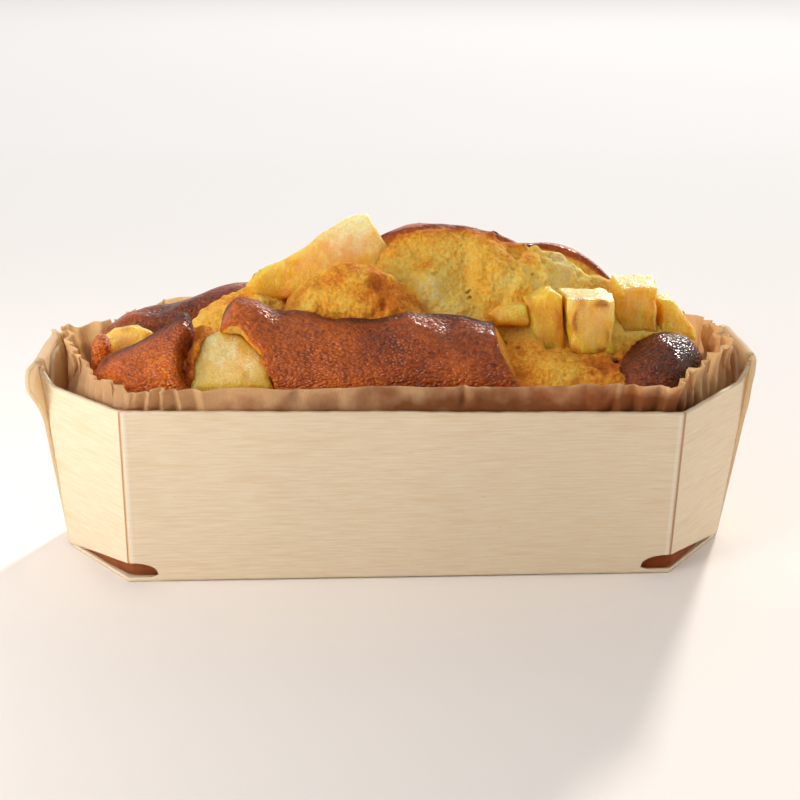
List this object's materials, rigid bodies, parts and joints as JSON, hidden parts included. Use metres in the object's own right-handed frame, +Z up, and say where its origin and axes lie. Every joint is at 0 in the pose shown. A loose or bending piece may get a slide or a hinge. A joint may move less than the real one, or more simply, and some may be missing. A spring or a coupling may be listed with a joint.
{
  "type": "pear cake in a wooden mould",
  "caption": "Oblong loaf cake with pear chunks, a cracked brown crust and a yellow crumb, in its pleated paper liner and folded wood-veneer mould.",
  "frame": {"origin": "under the middle of the mould's flat base, on the surface that it stands on", "axes": "+X along the mould's length, +Y towards its back long side, +Z up"},
  "size_m": [0.1926, 0.076, 0.091],
  "materials": {
    "poplar_veneer": "matte",
    "baking_paper": "matte",
    "cake_crust": "satin",
    "baked_pear": "satin"
  },
  "bodies": {
    "root": {"wood_tray": "poplar_veneer", "paper_liner": "baking_paper", "cake": "cake_crust", "pear_front": "baked_pear", "pear_shard": "baked_pear", "pear_cube_left": "baked_pear", "pear_cube_right": "baked_pear", "pear_wedge": "baked_pear", "pear_sliver": "baked_pear", "pear_lens": "baked_pear", "pear_left": "baked_pear", "pear_back_left": "baked_pear", "pear_back_right": "baked_pear"}
  },
  "joints": []
}
